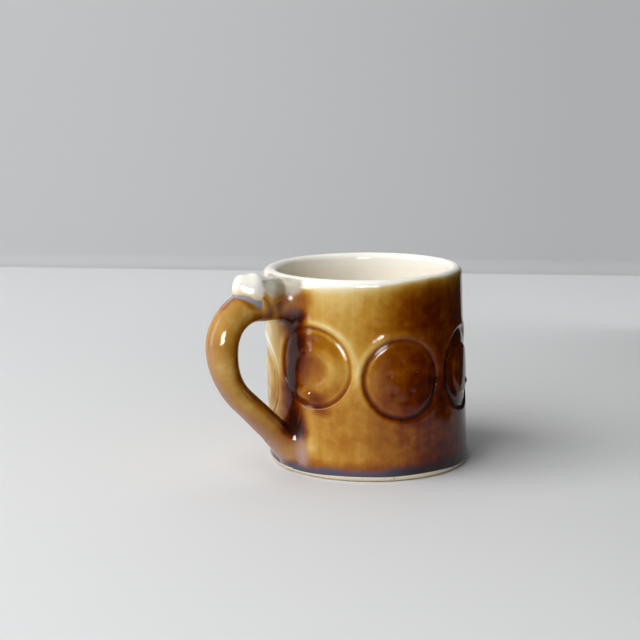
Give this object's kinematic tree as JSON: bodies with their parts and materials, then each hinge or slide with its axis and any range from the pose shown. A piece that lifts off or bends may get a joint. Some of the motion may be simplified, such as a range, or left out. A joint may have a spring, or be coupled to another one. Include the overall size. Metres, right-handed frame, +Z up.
{
  "type": "mug",
  "caption": "Slab-built stoneware mug with pressed medallions, a pulled loop handle and a thumb rest, glazed amber with a white lip.",
  "frame": {"origin": "centre of the foot, on the surface the mug stands on", "axes": "+Z up along the mug, -X towards the handle, +Y to the left seen from behind the handle"},
  "size_m": [0.121, 0.0836, 0.0853],
  "materials": {
    "amber_glaze": "gloss",
    "white_glaze": "gloss",
    "bare_clay": "matte"
  },
  "bodies": {
    "root": {"wall_slab": "amber_glaze", "floor_slab": "white_glaze", "handle_coil": "amber_glaze", "thumb_rest": "white_glaze", "upper_collar": "amber_glaze", "lower_collar": "amber_glaze", "medallion_1": "amber_glaze", "medallion_2": "amber_glaze", "medallion_3": "amber_glaze", "medallion_4": "amber_glaze", "medallion_5": "amber_glaze", "medallion_6": "amber_glaze", "medallion_7": "amber_glaze"}
  },
  "joints": []
}
